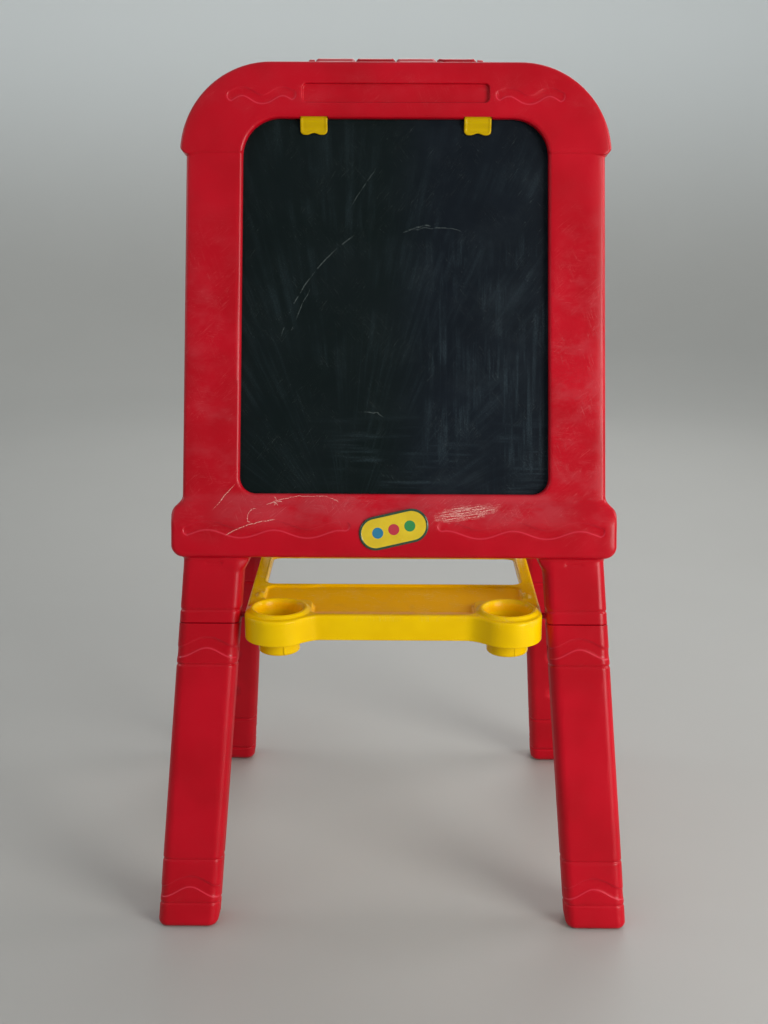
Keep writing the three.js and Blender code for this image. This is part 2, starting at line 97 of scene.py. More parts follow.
# Dimples in the backs of the mouldings: how far down or across each one is, its radius and its depth.
STILE_DIMPLES, STILE_DIMPLE_SIZE = (175, 262, 349, 436, 523), (15, 6)
BEAM_DIMPLES, LEDGE_DIMPLE_SIZE = (60, 130, 200), (15, 6)
HEADER_DIMPLE_S, HEADER_DIMPLE_SIZE = 40, (13, 5)
LEG_DIMPLES, LEG_DIMPLE_SIZE = (838, 906, 974), (15, 5)

# Wavy ribbons sunk into the faces: start, end, centre, amplitude, period, peak and half width.
HEADER_RIBBON = (132, 208, 46.5, 4.9, 51.4, 143, 5.8)
LEDGE_RIBBON = (62, 264, 596, 5, 85.5, 153, 6)
LEG_RIBBONS = ((-45, 45, 749.5, 6.5, 78, 0, 7.5), (-45, 45, 1064, 7, 78, 0, 7.5))
RIBBON_DEPTH = 0.9

# The hinge.
KNUCKLE_RADIUS, KNUCKLE_RELIEF, KNUCKLE_PITCH, KNUCKLE_GAP = 10.8, 12.2, 52.0, 1.2
KNUCKLE_CHAMFER, KNUCKLE_WEB = 3.2, 26.0
PIN_RADIUS, PIN_HALF = 3.0, 111.0
CAP_RADIUS, CAP_START, CAP_END, CAP_DOME = 9.5, 104.8, 115.0, 14.0

# The paper clips.
CLIP_AT, CLIP_HALF, CLIP_THICKNESS, CLIP_RIM = 104.0, 16.9, 2.0, 1.4
CLIP_PIVOT_S, CLIP_PIVOT_D, CLIP_BARREL, CLIP_TRUNNION, CLIP_REACH = 69.0, 42.0, 2.8, 1.6, 19.9
CLIP_END, CLIP_CORNER = 92.4, 5.5

# The screws: radius and height of the head, radius and length of the shank.
BOARD_SCREW = (3.6, 2.4, 1.5, 11.4)
LEG_SCREW = (4.6, 2.6, 1.9, 12.0)

# The badge.
BADGE_S, BADGE_HALF, BADGE_RADIUS, BADGE_TILT = 595.0, 45.0, 21.7, math.radians(13)

# The tray.
TRAY_TOP, TRAY_FLANGE, TRAY_BOTTOM, TRAY_WALL = 404.0, 400.1, 370.0, 3.0
TRAY_HALF, TRAY_SIDE, TRAY_FRONT = 192.5, 184.0, 200.0
TRAY_ROLL = 5.0
POD_INNER, POD_FRONT, POD_BACK, POD_CORNER = 108.5, 227.0, 176.7, 42.0
CUP_X, CUP_Y, CUP_RIM, CUP_TOP = 149.0, 177.0, 38.8, 408.0
BOSS_RADIUS, BOSS_BOTTOM, CUP_WAIST = 27.0, 349.0, 372.0
CUP_FLOOR_RADIUS, CUP_TAPER, CUP_FLARE, CUP_WALL = 27, 0.2, 0.8, 2.5
RIB_TURN = math.radians(18)  # how far round the boss its rib sits, from straight in front
HOLE_HALF, HOLE_LENGTH, HOLE_CORNER, HOLE_UNDER = 175.0, 68.0, 14.0, 397.0
TROUGH_FLOOR, TROUGH_NARROW, TROUGH_WIDE = 398.0, 106.0, 172.0
TROUGH_OUTER, TROUGH_INNER, TROUGH_WIDE_OUTER = 190.0, 76.0, 136.0

# The camera: place in metres, lens and sensor in millimetres, angles in degrees.
CAMERA_PLACE = (0, -1.998, 1.0396)
CAMERA_LENS, CAMERA_SENSOR = 52.03, 36
CAMERA_PAN, CAMERA_DOWN, CAMERA_ROLL = 0.395, 15.45, 0.18

FINE = 1.0  # scales every grid's cell


# Distance fields: negative inside, in millimetres.
def union(a, b, fillet=0.0):
    """Two solids as one, with a fillet of this radius in the corner where they meet."""
    nearest = np.minimum(a, b)
    if not fillet:
        return nearest
    corner = np.hypot(np.maximum(fillet - a, 0), np.maximum(fillet - b, 0))
    return np.maximum(fillet, nearest) - corner


def common(a, b, rounding=0.0):
    """What two solids share, with the edge where they cross rounded off."""
    return -union(-a, -b, rounding)


def less(a, b, rounding=0.0):
    """A first solid with a second cut out of it."""
    return common(a, -b, rounding)


def box(u, v, centre, half, corner):
    """A rectangle with round corners."""
    across = np.abs(u - centre[0]) - half[0] + corner
    along = np.abs(v - centre[1]) - half[1] + corner
    outside = np.hypot(np.maximum(across, 0), np.maximum(along, 0))
    return outside + np.minimum(np.maximum(across, along), 0) - corner


def between(value, low, high):
    """A plate that lies between two levels."""
    return np.abs(value - (low + high) / 2) - (high - low) / 2


def ease(value, start, end):
    """0 up to start and 1 from end on, with a smooth step between them."""
    t = np.clip((value - start) / (end - start), 0, 1)
    return t * t * (3 - 2 * t)


def wave(u, v, start, end, centre, amplitude, period, peak, half):
    """A ribbon with round ends along a wave that rises to its peak at u = peak."""
    along = np.clip(u, start, end)
    turn = 2 * math.pi / period
    middle = centre - amplitude * np.cos(turn * (along - peak))
    slope = amplitude * turn * np.sin(turn * (along - peak))
    return np.hypot(u - along, (v - middle) / np.hypot(1, slope)) - half


def slab(plan, d, face):
    """A plate with round edges front and back, whose face falls away gently near its outline."""
    crown = CROWN * np.clip(1 + plan / CROWN_WIDTH, 0, 1) ** 2
    return common(common(plan, d - face + crown, ROLL), BACK - d, ROLL)


def engraved(solid, ribbon, depth, where):
    """Sinks a soft-edged ribbon into a surface."""
    return solid + depth * (1 - ease(ribbon, -3.6, 1.4)) * where


def ring_groove(solid, along, at, depth=1.3):
    """A soft groove right round a leg, at one level."""
    return solid + depth * np.exp(-(((along - at) / GROOVE_WIDTH) ** 2))


def dimple(solid, u, v, centre, radius, depth, where):
    """Sinks a round soft-edged hollow into a surface."""
    reach = np.hypot(u - centre[0], v - centre[1]) / radius
    return solid + depth * (1 - ease(reach, 0.1, 1)) * where


def opening_plan(x, s):
    """The outline of the opening that shows the board, for x of 0 or more."""
    slope = (OPENING_HALF_BOTTOM - OPENING_HALF_TOP) / (OPENING_BOTTOM - OPENING_TOP)
    side = (x - OPENING_HALF_TOP - slope * (s - OPENING_TOP)) / math.hypot(1, slope)
    upper = common(side, OPENING_TOP - s, OPENING_RADIUS_TOP)
    return common(upper, s - OPENING_BOTTOM, OPENING_RADIUS_BOTTOM)


def leg_centre(s):
    """How far out the middle of the splayed right-hand leg is."""
    return LEG_CENTRE_AT_TOP + math.tan(SPLAY) * (s - LEG_TOP)


def leg_section(x, s, d, half, back, face, corner):
    """A bar along the splayed leg, with a rectangular section."""
    across = (x - leg_centre(s)) * math.cos(SPLAY)
    return box(across, d, (0, (back + face) / 2), (half, (face - back) / 2), corner)


def knuckles(x, s, d):
    """The two hinge knuckles with their webs, and the reliefs for the other side's two."""
    half = (KNUCKLE_PITCH - KNUCKLE_GAP) / 2
    slope = math.atan2(HEADER_TOP + 0.5 + KNUCKLE_RADIUS, KNUCKLE_WEB)
    under_web = (-KNUCKLE_RADIUS - s) * math.cos(slope) + d * math.sin(slope)
    web = np.maximum(np.maximum(under_web, s - 16), np.maximum(BACK - d, d - KNUCKLE_WEB))
    section = union(np.hypot(s, d) - KNUCKLE_RADIUS, web, 1.5)
    added, relief = None, None
    for middle in (-1.5 * KNUCKLE_PITCH, 0.5 * KNUCKLE_PITCH):
        ends = np.abs(x - middle) - half
        chamfer = (ends + section + KNUCKLE_CHAMFER) / math.sqrt(2)
        one = np.maximum(common(section, ends, 0.8), chamfer)
        gap = np.maximum(np.hypot(s, d) - KNUCKLE_RELIEF, np.abs(x + middle) - KNUCKLE_PITCH / 2)
        added = one if added is None else np.minimum(added, one)
        relief = gap if relief is None else np.minimum(relief, gap)
    caps = np.maximum(np.hypot(s, d) - CAP_RADIUS - 1.2, between(np.abs(x), CAP_START - 1, CAP_END + 1.5))
    return added, np.minimum(relief, caps)


def frame_field(x, s, d):
    """One side's moulding: header, stiles, ledge, leg stubs with tenons, knuckles and tray lugs."""
    ax = np.abs(x)
    header = box(ax, s, (0, 200), (HEADER_HALF, 200 - HEADER_TOP), SHOULDER)
    under_ear = s - EAR_BOTTOM - EAR_DROP * ease(ax, HEADER_HALF - 32, HEADER_HALF - 6)
    chamfer = (ax - HEADER_HALF + under_ear + EAR_CHAMFER) / math.sqrt(2)
    header = common(slab(header, d, FACE), common(under_ear, chamfer, 3), 2)
    slope = (STILE_HALF_BOTTOM - STILE_HALF_TOP) / (STILE_BOTTOM - STILE_TOP)
    stile = slab(ax - STILE_HALF_TOP - slope * (s - STILE_TOP), d, STILE_FACE)
    stile = np.maximum(stile, between(s, EAR_BOTTOM - 30, LEDGE_BOTTOM - 30))

    ledge_middle = (LEDGE_TOP + LEDGE_BOTTOM) / 2
    ledge = box(ax, s, (0, ledge_middle), (LEDGE_HALF, (LEDGE_BOTTOM - LEDGE_TOP) / 2), LEDGE_CORNER)
    ledge_face = STILE_FACE + (LEDGE_FACE - STILE_FACE) * ease(s, SLOPE_START, SLOPE_END)
    solid = union(union(header, stile, 2), slab(ledge, d, ledge_face), LEDGE_FILLET)

    stub = leg_section(ax, s, d, STUB_HALF, BACK, FACE, STUB_CORNER)
    stub = common(stub, between(s, LEDGE_BOTTOM - 30, STUB_END), 0.5)
    gusset = box(ax, s, *GUSSET)
    stub = union(ring_groove(stub, s, STUB_GROOVE), common(gusset, between(d, BACK, FACE - 4), 3), 8)
    solid = np.maximum(union(solid, stub, 5), BACK - d)
    tenon = leg_section(ax, s, d, TENON_HALF, TENON_BACK, TENON_FACE, TENON_CORNER)
    solid = np.minimum(solid, common(tenon, between(s, STUB_END - 12, TENON_END), 2))
    lug = common(np.hypot(s - LUG_S, d - LUG_D) - LUG_RADIUS, between(ax, LUG_TIP, LUG_ROOT), 1)
    solid = union(solid, lug, 1)

    front = ease(d, 30, 38)
    behind = 1 - ease(d, 8, 16)
    solid = engraved(solid, wave(ax, s, *HEADER_RIBBON), RIBBON_DEPTH, front)
    solid = engraved(solid, wave(ax, s, *LEDGE_RIBBON), RIBBON_DEPTH, front)
    solid = engraved(solid, box(ax, s, *STUB_MARK), RIBBON_DEPTH, front)
    for level in STILE_DIMPLES:
        solid = dimple(solid, ax, s, (231 + 0.012 * level, level), *STILE_DIMPLE_SIZE, behind)
    for across in BEAM_DIMPLES:
        solid = dimple(solid, ax, s, (across, HEADER_DIMPLE_S), *HEADER_DIMPLE_SIZE, behind)
        solid = dimple(solid, ax, s, (across, ledge_middle), *LEDGE_DIMPLE_SIZE, behind)

    opening = opening_plan(ax, s)
    solid = less(solid, opening, LIP)
    solid = less(solid, np.maximum(opening - BOARD_LAP, d - BOARD_SEAT), 1)
    recess_middle, recess_depth = (RECESS_TOP + RECESS_BOTTOM) / 2, (RECESS_BOTTOM - RECESS_TOP) / 2
    recess = box(ax, s, (0, recess_middle), (RECESS_HALF, recess_depth), 6)
    solid = less(solid, common(recess, RECESS_FLOOR - d, 1.5), 1.8)
    pocket = np.maximum(between(ax, CLIP_AT - 18, CLIP_AT + 18), between(s, 64, 80))
    pocket = np.maximum(pocket, between(d, 38.5, 45.6))
    trunnions = np.maximum(np.hypot(s - CLIP_PIVOT_S, d - CLIP_PIVOT_D) - 2, np.abs(ax - CLIP_AT) - 20.4)
    solid = less(less(solid, pocket, 0.5), trunnions)

    added, relief = knuckles(x, s, d)
    return union(less(solid, relief, 0.8), added, 1.2)


def leg_field(x, s, d):
    """The right-hand lower leg, hollow where it sleeves over the tenon."""
    leg = leg_section(x, s, d, LEG_HALF, BACK, LEG_FACE, LEG_CORNER)
    leg = ring_groove(ring_groove(ring_groove(leg, s, LEG_GROOVE), s, LEG_BAND), s, SOLE_BAND, 1.1)
    across = x - leg_centre(s)
    front = ease(d, 30, 40)
    for ribbon in LEG_RIBBONS:
        leg = engraved(leg, wave(across, s, *ribbon), RIBBON_DEPTH, front)
    for level in LEG_DIMPLES:
        leg = dimple(leg, across, s, (0, level), *LEG_DIMPLE_SIZE, 1 - front)
    leg = common(leg, LEG_TOP - s, 0.6)
    height = HINGE_HEIGHT - s * math.cos(LEAN) + d * math.sin(LEAN)
    leg = common(leg, -height, SOLE_ROUND)
    gap = SOCKET_GAP
    socket = leg_section(
        x, s, d, TENON_HALF + gap, TENON_BACK - gap, TENON_FACE + gap, TENON_CORNER + gap)
    leg = less(leg, np.maximum(socket, s - TENON_END - gap), 0.6)
    screw_hole = np.hypot(s - SCREW_HOLE_S, d - SCREW_HOLE_D) - SCREW_HOLE_RADIUS
    return less(leg, np.maximum(screw_hole, across + TENON_HALF - 6), 0.4)


def clip_field(x, s, d):
    """A paper clip, at x = 0: a curved tab with a rolled rim, on a barrel with two trunnions."""
    middle = 42.1 - 4.3 * ease(s, 77.5, 87) + 0.9 * ease(s, 88, 94)
    steepness = 1 + 0.22 * ease(s, 77.5, 82) * (1 - ease(s, 82, 87))
    off = (d - middle) / steepness
    lobes = CLIP_END - 1.2 * np.cos(2 * math.pi * np.clip(np.abs(x), 0, 9.5) / 18)
    plan = common(common(np.abs(x) - CLIP_HALF, s - lobes, CLIP_CORNER), CLIP_PIVOT_S - s)
    tab = common(plan, np.abs(off) - CLIP_THICKNESS / 2, 0.6)
    rim = np.hypot(plan + CLIP_RIM, off) - CLIP_RIM
    rim = np.maximum(rim, 74 - s)
    clip = union(tab, rim, 1.2)
    spindle = np.hypot(s - CLIP_PIVOT_S, d - CLIP_PIVOT_D)
    barrel = common(spindle - CLIP_BARREL, np.abs(x) - CLIP_HALF, 0.5)
    trunnion = common(spindle - CLIP_TRUNNION, np.abs(x) - CLIP_REACH, 0.4)
    return union(union(clip, barrel, 0.8), trunnion, 0.4)


def cup_field(radius, z, deep):
    """A cup's outside and its cavity. A deep one has a boss underneath, a shallow one a flat bottom."""
    rim = common(common(radius - CUP_RIM, z - CUP_TOP, 3.4), CUP_WAIST + 14 - z)
    steepness = math.hypot(1, CUP_TAPER)
    taper = (radius - CUP_FLOOR_RADIUS - CUP_TAPER * (z - CUP_WAIST)) / steepness
    bowl = common(common(taper, z - TRAY_TOP), CUP_WAIST - 1 - z, 3)
    outside = union(rim, bowl, 3)
    boss = common(common(radius - BOSS_RADIUS, BOSS_BOTTOM - z, 3), z - TRAY_TOP)
    outside = np.where(deep, union(outside, boss, 2), outside)
    inner = CUP_FLOOR_RADIUS - CUP_WALL
    wide = (radius - inner - CUP_TAPER * (z - CUP_WAIST)) / steepness
    wide = common(wide, CUP_WAIST + 3 - z, 2)
    well = common(radius - BOSS_RADIUS + 3, BOSS_BOTTOM + 3 - z, 3)
    cavity = np.where(deep, union(wide, well), wide)
    flare = (radius - 30 - CUP_FLARE * (z - CUP_TOP + 4)) / math.hypot(1, CUP_FLARE)
    return outside, union(cavity, np.maximum(flare, CUP_TOP - 6 - z), 2)


def tray_field(x, y, z):
    """The tray: a skirted deck with a pod round each cup, two shallow troughs and a hole in its middle."""
    ax, ay = np.abs(x), np.abs(y)
    pod_middle = ((POD_INNER + TRAY_HALF) / 2, POD_FRONT - 50)
    pod = box(ax, ay, pod_middle, ((TRAY_HALF - POD_INNER) / 2, 50), POD_CORNER)
    pod = common(pod, POD_BACK - ay, 1.5)

    def plan(side):
        body = box(ax, ay, (0, 0), (side, TRAY_FRONT), 12)
        return np.where(ax < CUP_X, union(body, pod, 16), union(body, pod))

    flange = common(common(plan(TRAY_HALF), z - TRAY_TOP, 3.5), TRAY_FLANGE - z, 0.5)
    skirt_plan = plan(TRAY_SIDE)
    skirt = common(common(skirt_plan, z - TRAY_TOP, TRAY_ROLL), TRAY_BOTTOM - z, 1.4)
    skirt = less(skirt, common(skirt_plan + TRAY_WALL, z - TRAY_FLANGE, 2), 0.6)
    tray = np.minimum(flange, skirt)

    hole = box(ax, ay, (0, 0), (HOLE_HALF, HOLE_LENGTH), HOLE_CORNER)
    tray = union(tray, common(common(hole - TRAY_WALL, z - TRAY_TOP, 0.5), HOLE_UNDER - z, 1), 1)
    narrow = box(ax, ay, (0, (TROUGH_INNER + TROUGH_OUTER) / 2),
                 (TROUGH_NARROW, (TROUGH_OUTER - TROUGH_INNER) / 2), 12)
    wide = box(ax, ay, (0, (TROUGH_INNER + TROUGH_WIDE_OUTER) / 2),
               (TROUGH_WIDE, (TROUGH_WIDE_OUTER - TROUGH_INNER) / 2), 12)
    trough = union(narrow, wide, 14)
    floor = TROUGH_FLOOR + 3 * (1 - ease(ay, TROUGH_INNER, TROUGH_OUTER - 40))
    tub = np.maximum(common(trough - TRAY_WALL, floor - TRAY_WALL - z, 3), z - TRAY_TOP + 0.5)
    tray = union(tray, tub)

    radius = np.hypot(ax - CUP_X, ay - CUP_Y)
    outside, cavity = cup_field(radius, z, y < 0)
    tray = union(tray, outside, 4)
    rib_across = ax - CUP_X - np.sign(x) * BOSS_RADIUS * math.sin(RIB_TURN)
    rib = np.hypot(rib_across, y + CUP_Y + BOSS_RADIUS * math.cos(RIB_TURN))
    tray = union(tray, np.maximum(rib - 1, between(z, BOSS_BOTTOM + 2, TRAY_BOTTOM + 4)), 0.8)
    stop = np.sqrt(((ax - 178) / 5) ** 2 + ((ay - 118) / 10) ** 2 + ((z - TRAY_TOP) / 3) ** 2)
    tray = union(tray, (stop - 1) * 3, 2)

    tray = less(tray, common(trough, floor - z, 4), 2)
    tray = less(tray, hole, 2.2)
    return less(tray, cavity, 1.6)


def bar_field(radius, half, rounding):
    """A round bar along x, with rounded ends."""
    def field(x, s, d):
        return common(np.hypot(s, d) - radius, np.abs(x) - half, rounding)
    return field


def cap_field(x, s, d):
    """A push-on cap on the pin's right-hand end, with a domed face and a blind bore."""
    radius = np.hypot(s, d)
    dome = np.hypot(np.maximum(x - CAP_END + CAP_DOME, 0), radius) - CAP_DOME
    cap = common(common(radius - CAP_RADIUS, CAP_START - x, 0.6), dome, 1)
    return less(cap, np.maximum(radius - PIN_RADIUS - 0.4, x - CAP_START - 6.6), 0.3)


def along_badge(x, s):
    """Coordinates along and across the badge, from its middle."""
    sine, cosine = math.sin(BADGE_TILT), math.cos(BADGE_TILT)
    return x * cosine - (s - BADGE_S) * sine, x * sine + (s - BADGE_S) * cosine


def badge_field(x, s, d):
    """A tilted stadium plate with a raised border and a softly domed middle."""
    u, v = along_badge(x, s)
    plan = box(u, v, (0, 0), (BADGE_HALF, BADGE_RADIUS), BADGE_RADIUS - 0.1)
    dome = 0.35 * np.clip(1 - (u / BADGE_HALF) ** 2, 0, 1) * np.clip(1 - (v / BADGE_RADIUS) ** 2, 0, 1)
    border = 0.55 * (1 - ease(np.abs(plan + 1.9), 0.7, 1.5))
    top = LEDGE_FACE + 1.35
    return common(common(plan, d - top - dome - border, 0.5), LEDGE_FACE + 0.3 - d, 0.3)


def screw_field(head, height, shank, length):
    """A pan-head screw with a cross recess and a rolled thread, its seat at z = 0 and its head below."""
    def field(x, y, z):
        radius = np.hypot(x, y)
        dome = np.hypot(radius, (z + height - head * 1.15)) - head * 1.15
        pan = common(common(radius - head, dome, 0.4), z, 0.2)
        cross = np.minimum(np.maximum(np.abs(x) - 0.45, np.abs(y) - head * 0.5),
                           np.maximum(np.abs(y) - 0.45, np.abs(x) - head * 0.5))
        pan = less(pan, np.maximum(cross, z + height * 0.35), 0.1)
        thread = 0.28 * np.cos(2 * math.pi * z / 1.3 - np.arctan2(y, x))
        stem = np.maximum(radius - shank + 0.28 - thread, z - length + (radius * 1.2))
        return union(pan, np.maximum(stem * 0.8, -z - 0.5), 0.2)
    return field


# Meshing.
BLOCK = 4  # cells along a block's edge
KEPT_SHARE = 0.5  # of the grid's triangles
PROBE = 0.05  # how far to each side a slope is measured, in millimetres


def sample(field, low, high, cell):
    """The field on a grid, worked out closely only in the blocks that its surface may cross."""
    blocks = np.ceil(((high - low) / cell + 1) / BLOCK).astype(int)
    corners = np.stack(np.meshgrid(*[np.arange(n) * BLOCK for n in blocks], indexing="ij"), -1).reshape(-1, 3)
    middles = low + cell * (corners + (BLOCK - 1) / 2)
    coarse = field(*middles.T.astype(np.float32))
    reach = 1.35 * cell * (math.sqrt(3) * (BLOCK - 1) / 2 + 1)
    near = np.abs(coarse) < reach
    steps = np.stack(np.meshgrid(*[np.arange(BLOCK)] * 3, indexing="ij"), -1).reshape(-1, 3)
    values = np.repeat(coarse[:, None], BLOCK ** 3, 1)
    chosen = np.flatnonzero(near)
    for part in np.array_split(chosen, max(1, len(chosen) // 8000)):
        points = low + cell * (corners[part][:, None] + steps).reshape(-1, 3)
        values[part] = field(*points.T.astype(np.float32)).reshape(-1, BLOCK ** 3)
    values = values.reshape(*blocks, BLOCK, BLOCK, BLOCK).transpose(0, 3, 1, 4, 2, 5)
    return np.clip(values.reshape(blocks * BLOCK), -3 * cell, 3 * cell)


def gradient(field, points, step):
    """The field's slope at each point, and how steep it is."""
    slopes = [field(*(points + offset).T) - field(*(points - offset).T) for offset in np.eye(3) * step]
    slopes = np.stack(slopes, -1) / (2 * step)
    return slopes, np.maximum(np.linalg.norm(slopes, axis=1, keepdims=True), 1e-6)


def added(name, data):
    """A new object in the scene."""
    thing = bpy.data.objects.new(name, data)
    bpy.context.scene.collection.objects.link(thing)
    return thing


def thinned(points, faces):
    """Fewer triangles, taken away first where the surface is flat."""
    mesh = bpy.data.meshes.new("whole")
    mesh.from_pydata(points, [], faces)
    holder = added("whole", mesh)
    holder.modifiers.new("thin", "DECIMATE").ratio = KEPT_SHARE
    result = bpy.data.meshes.new_from_object(holder.evaluated_get(bpy.context.evaluated_depsgraph_get()))
    corners = np.zeros(len(result.vertices) * 3)
    result.vertices.foreach_get("co", corners)
    faces = [list(face.vertices) for face in result.polygons]
    bpy.data.objects.remove(holder)
    bpy.data.meshes.remove(mesh)
    bpy.data.meshes.remove(result)
    return corners.reshape(-1, 3), faces


def field_mesh(name, field, low, high, cell, place):
    """Meshes a field's surface, pulls it onto the surface and gives it the surface's own normals.

    place takes field coordinates in millimetres to the row frame in metres.
    """
    low, high = np.array(low, float), np.array(high, float)
    cell = cell * FINE
    grid = openvdb.FloatGrid()
    grid.background = 3 * cell
    grid.copyFromArray(sample(field, low, high, cell).astype(np.float32))
    points, triangles, quads = grid.convertToPolygons(isovalue=0.0, adaptivity=0.02)
    points = low + cell * np.asarray(points, float)
    points, faces = thinned(points, triangles.tolist() + quads.tolist())
    for _ in range(2):
        slopes, steepness = gradient(field, points, PROBE)
        move = slopes * (field(*points.T)[:, None] / steepness ** 2)
        length = np.maximum(np.linalg.norm(move, axis=1, keepdims=True), 1e-9)
        points = points - move * np.minimum(1, cell / length)
    slopes, steepness = gradient(field, points, PROBE)
    place = np.array(place)
    turn = place[:3, :3]
    flip = np.linalg.det(turn) < 0
    faces = [face[::-1] if flip else face for face in faces]
    mesh = bpy.data.meshes.new(name)
    mesh.from_pydata(points @ turn.T + place[:3, 3], [], faces)
    mesh.shade_smooth()
    normals = (slopes / steepness) @ turn.T
    normals = normals / np.linalg.norm(normals, axis=1, keepdims=True)
    mesh.normals_split_custom_set_from_vertices(normals)
    return mesh


def mirrored(mesh, name):
    """A mirror image of a mesh across x = 0, with its normals."""
    points = np.array([v.co for v in mesh.vertices])
    normals = np.zeros((len(mesh.vertices), 3))
    for loop, corner in zip(mesh.loops, mesh.corner_normals):
        normals[loop.vertex_index] = corner.vector
    flip = np.array([-1, 1, 1])
    copy = bpy.data.meshes.new(name)
    copy.from_pydata(points * flip, [], [list(face.vertices)[::-1] for face in mesh.polygons])
    copy.shade_smooth()
    copy.normals_split_custom_set_from_vertices(normals * flip)
    return copy


# SIDE takes the front side's coordinates, and UPRIGHT the row's own, from millimetres to metres. TURNED
# takes the front side to the rear one's place.
SIDE_AXES = Matrix(((1, 0, 0, 0), (0, 0, -1, 0), (0, -1, 0, 0), (0, 0, 0, 1)))
SIDE = (Matrix.Translation((0, 0, HINGE_HEIGHT * MM)) @ Matrix.Rotation(-LEAN, 4, "X")
        @ SIDE_AXES @ Matrix.Scale(MM, 4))
UPRIGHT = Matrix.Scale(MM, 4)
TURNED = Matrix.Rotation(math.pi, 4, "Z")


def put(name, mesh, material, body, nodes, matrix=None):
    """Adds a copy of a mesh in place of its CAD nodes."""
    piece = added(name, mesh.copy())
    if matrix is not None:
        piece.matrix_world = matrix
    piece.data.materials.append(material)
    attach(piece, body)
    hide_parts(*nodes)


# Materials.
class Value:
    """A number that varies over a surface. Arithmetic on it adds Math nodes to its material."""

    def __init__(self, surface, socket):
        self.surface, self.socket = surface, socket

    def math(self, operation, *others):
        node = self.surface.tree.nodes.new("ShaderNodeMath")
        node.operation = operation
        for entry, value in zip(node.inputs, (self, *others)):
            self.surface.feed(entry, value)
        return Value(self.surface, node.outputs[0])

    def __add__(self, other):
        return self.math("ADD", other)

    def __sub__(self, other):
        return self.math("SUBTRACT", other)

    def __mul__(self, other):
        return self.math("MULTIPLY", other)

    def __truediv__(self, other):
        return self.math("DIVIDE", other)

    def __neg__(self):
        return self * -1.0

    def __rsub__(self, other):
        return -self + other

    def distance(self, other):
        """The length of the vector from zero to (self, other)."""
        return (self * self + other * other).math("SQRT")

    def away(self):
        return self.math("ABSOLUTE")

    def ramp(self, start, end):
        """0 at start and 1 at end, eased, whichever of the two is larger."""
        node = self.surface.tree.nodes.new("ShaderNodeMapRange")
        node.interpolation_type = "SMOOTHSTEP"
        self.surface.feed(node.inputs["Value"], self)
        low, high, first, last = (start, end, 0, 1) if start < end else (end, start, 1, 0)
        for entry, value in zip(("From Min", "From Max", "To Min", "To Max"), (low, high, first, last)):
            node.inputs[entry].default_value = value
        return Value(self.surface, node.outputs["Result"])

    def most(self, other):
        return self.math("MAXIMUM", other)


class Surface:
    """A material built from nodes on one Principled shader."""

    def __init__(self, name, **fixed):
        self.material = bpy.data.materials.new(name)
        self.material.use_nodes = True
        self.tree = self.material.node_tree
        self.shader = self.tree.nodes["Principled BSDF"]
        for entry, value in fixed.items():
            self.shader.inputs[entry.replace("_", " ")].default_value = value
        self.x, self.y, self.z = (part * 1000.0 for part in self.coordinates("Object"))
        self.s = (HINGE_HEIGHT - self.z) * math.cos(LEAN) - self.y * math.sin(LEAN)
        self.d = (self.z - HINGE_HEIGHT) * math.sin(LEAN) - self.y * math.cos(LEAN)

    def coordinates(self, kind):
        """The x, y and z parts of the surface's own coordinates of one kind."""
        source = self.tree.nodes.new("ShaderNodeTexCoord")
        split = self.tree.nodes.new("ShaderNodeSeparateXYZ")
        self.tree.links.new(source.outputs[kind], split.inputs[0])
        return [Value(self, part) for part in split.outputs]

    def feed(self, entry, value):
        if isinstance(value, Value):
            self.tree.links.new(value.socket, entry)
        else:
            entry.default_value = value

    def noise(self, x, y, z, grain, detail=3.0, rough=0.55):
        """Noise from 0 to 1 whose features are about grain millimetres across."""
        join = self.tree.nodes.new("ShaderNodeCombineXYZ")
        for entry, value in zip(join.inputs, (x, y, z)):
            self.feed(entry, value)
        node = self.tree.nodes.new("ShaderNodeTexNoise")
        self.tree.links.new(join.outputs[0], node.inputs["Vector"])
        settings = {"Scale": 1 / grain, "Detail": detail, "Roughness": rough}
        for entry, value in settings.items():
            node.inputs[entry].default_value = value
        return Value(self, node.outputs["Fac"])

    def sideways(self):
        """1 where the surface faces left or right, 0 where it faces front, back, up or down."""
        return self.coordinates("Normal")[0].away()

    def mottle(self, grain, **options):
        return self.noise(self.x, self.y, self.z, grain, **options)

    def mix(self, factor, first, second):
        """Blends from a first colour to a second, each a tuple or what this returned."""
        node = self.tree.nodes.new("ShaderNodeMix")
        node.data_type = "RGBA"
        self.feed(node.inputs[0], factor)
        for entry, colour in zip((node.inputs[6], node.inputs[7]), (first, second)):
            if isinstance(colour, Value):
                self.tree.links.new(colour.socket, entry)
            else:
                entry.default_value = (*colour, 1)
        return Value(self, node.outputs[2])

    def finish(self, colour, roughness, height, relief):
        """Connects colour and roughness, and a bump whose height of 1 stands relief millimetres."""
        self.tree.links.new(colour.socket, self.shader.inputs["Base Color"])
        self.feed(self.shader.inputs["Roughness"], roughness)
        bump = self.tree.nodes.new("ShaderNodeBump")
        bump.inputs["Distance"].default_value = relief * MM
        self.feed(bump.inputs["Height"], height)
        self.tree.links.new(bump.outputs[0], self.shader.inputs["Normal"])
        return self.material


def turned(u, v, angle):
    """Coordinates along and across a direction."""
    return u * math.cos(angle) + v * math.sin(angle), v * math.cos(angle) - u * math.sin(angle)


def scratches(surface, u, v, angle, grain, stretch, width=0.012):
    """Thin straight scratches along one direction, bunched in patches."""
    along, across = turned(u, v, angle)
    lines = surface.noise(along / stretch, across, 7.3 * angle, grain, detail=1.0)
    patch = surface.noise(along, across, 3.1 * angle, grain * 22, detail=2.0).ramp(0.5, 0.62)
    return (lines - 0.5).away().ramp(width, 0.0) * patch


